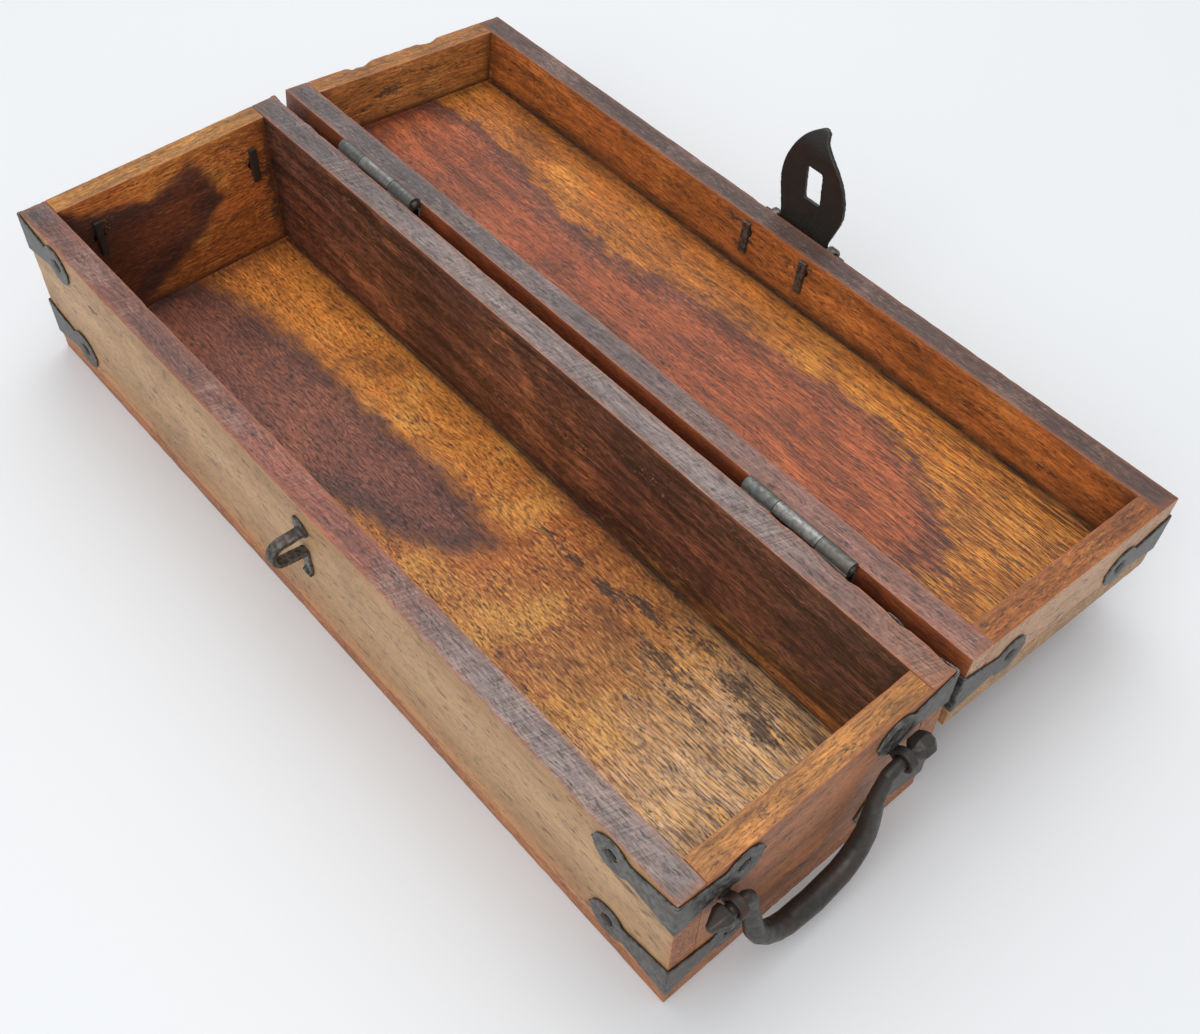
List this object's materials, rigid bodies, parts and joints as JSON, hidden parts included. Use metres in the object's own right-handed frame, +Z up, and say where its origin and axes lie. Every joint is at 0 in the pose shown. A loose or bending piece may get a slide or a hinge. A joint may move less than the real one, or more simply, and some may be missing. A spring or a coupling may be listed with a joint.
{
  "type": "storage chest",
  "caption": "Long, narrow wooden box for papers with a hinged lid, iron corner straps, a slotted hasp over a staple and a bail handle on each end.",
  "frame": {"origin": "centre of the body's underside, where it stands on a table", "axes": "+X along the box towards the end seen in the picture, +Y from the lock side to the hinges, +Z up"},
  "size_m": [0.435, 0.289, 0.1088],
  "materials": {
    "body_wood": "old hand-planed hardwood, dry and worn, unvarnished outside",
    "lid_wood": "old hand-planed hardwood, dry and worn",
    "strap_iron": "hammered sheet iron, grey and rubbed",
    "nail_iron": "forged iron",
    "dark_iron": "forged iron, brown-black, rubbed on the edges",
    "hinge_iron": "iron rubbed bright on the knuckles"
  },
  "bodies": {
    "body": {"front_board": "body_wood", "rear_board": "body_wood", "end_panel_left": "body_wood", "end_panel_right": "body_wood", "bottom_board": "body_wood", "bottom_nails": "nail_iron", "upper_strap_front_left": "strap_iron", "upper_strap_front_right": "strap_iron", "upper_strap_rear_left": "strap_iron", "upper_strap_rear_right": "strap_iron", "lower_strap_front_left": "strap_iron", "lower_strap_front_right": "strap_iron", "lower_strap_rear_left": "strap_iron", "lower_strap_rear_right": "strap_iron", "body_strap_nails": "nail_iron", "body_hinge_nails": "nail_iron", "hinge_body_leaf_left": "hinge_iron", "hinge_body_leaf_right": "hinge_iron", "hinge_pin_left": "hinge_iron", "hinge_pin_right": "hinge_iron", "handle_eyes_left": "dark_iron", "handle_eyes_right": "dark_iron", "staple": "dark_iron"},
    "lid": {"lid_rear_board": "lid_wood", "lid_front_board": "lid_wood", "lid_end_panel_left": "lid_wood", "lid_end_panel_right": "lid_wood", "lid_top_board": "lid_wood", "lid_top_nails": "nail_iron", "lid_strap_front_left": "strap_iron", "lid_strap_front_right": "strap_iron", "lid_strap_rear_left": "strap_iron", "lid_strap_rear_right": "strap_iron", "lid_strap_nails": "nail_iron", "lid_hinge_nails": "nail_iron", "hinge_lid_leaf_left": "hinge_iron", "hinge_lid_leaf_right": "hinge_iron", "hasp_eyes": "dark_iron"},
    "hasp": {"hasp": "dark_iron"},
    "handle_left": {"handle_left": "dark_iron"},
    "handle_right": {"handle_right": "dark_iron"}
  },
  "joints": [
    {"name": "lid_hinge", "type": "hinge", "parent": "body", "child": "lid", "pos_m": [0, 0.0669, 0.0787], "axis": [1, 0, 0], "range_deg": [0, 186]},
    {"name": "hasp_hinge", "type": "hinge", "parent": "lid", "child": "hasp", "pos_m": [0.0045, 0.19976, 0.05699], "axis": [-1, 0, 0], "range_deg": [0, 165]},
    {"name": "left_handle_hinge", "type": "hinge", "parent": "body", "child": "handle_left", "pos_m": [-0.2085, 0.0025, 0.057], "axis": [0, 1, 0], "range_deg": [-4, 168]},
    {"name": "right_handle_hinge", "type": "hinge", "parent": "body", "child": "handle_right", "pos_m": [0.2085, -0.0025, 0.057], "axis": [0, -1, 0], "range_deg": [-4, 168]}
  ]
}
